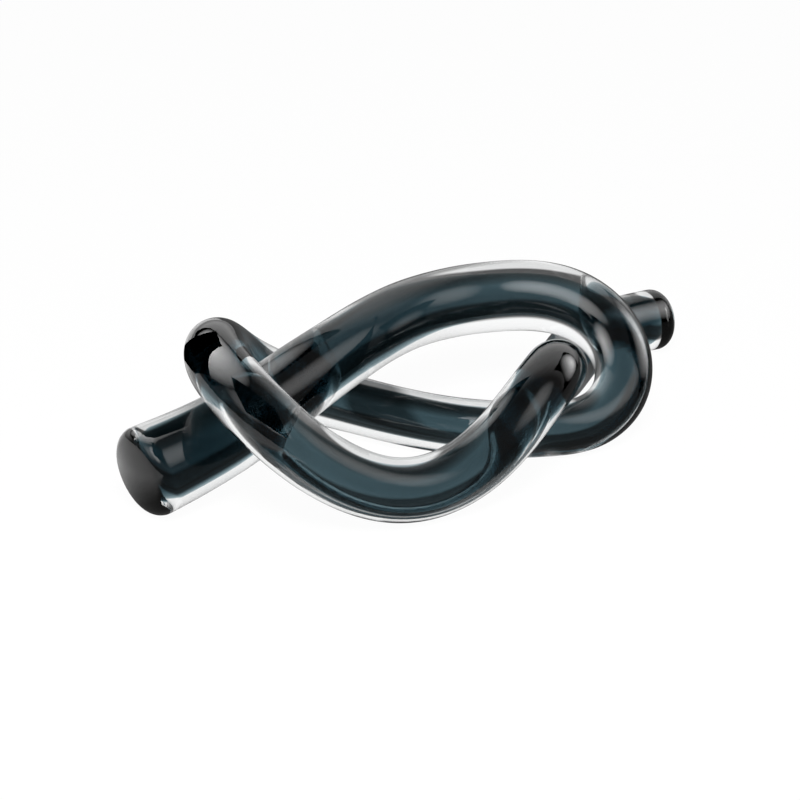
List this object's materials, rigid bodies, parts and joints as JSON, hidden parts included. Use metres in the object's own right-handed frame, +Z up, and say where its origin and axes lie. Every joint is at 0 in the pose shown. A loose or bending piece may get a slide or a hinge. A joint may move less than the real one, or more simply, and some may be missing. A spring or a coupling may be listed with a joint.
{
  "type": "glass knot sculpture",
  "caption": "Solid round rod of clear glass with a dark petrol core, tied into a loose overhand knot that lies flat, with polished ends.",
  "frame": {"origin": "centre of the bounding box in plan, on the surface that the knot lies on", "axes": "+X from the thick end to the thin end, along the longest side; +Z up; +Y away from the belly side"},
  "size_m": [0.316, 0.1476, 0.0738],
  "materials": {
    "clear_glass": "clear crystal, fire polished, with polished ends and soft rims",
    "petrol_glass": "deep petrol tint, nearly black where it is thick"
  },
  "bodies": {
    "root": {"clear_casing": "clear_glass", "tinted_core": "petrol_glass"}
  },
  "joints": []
}
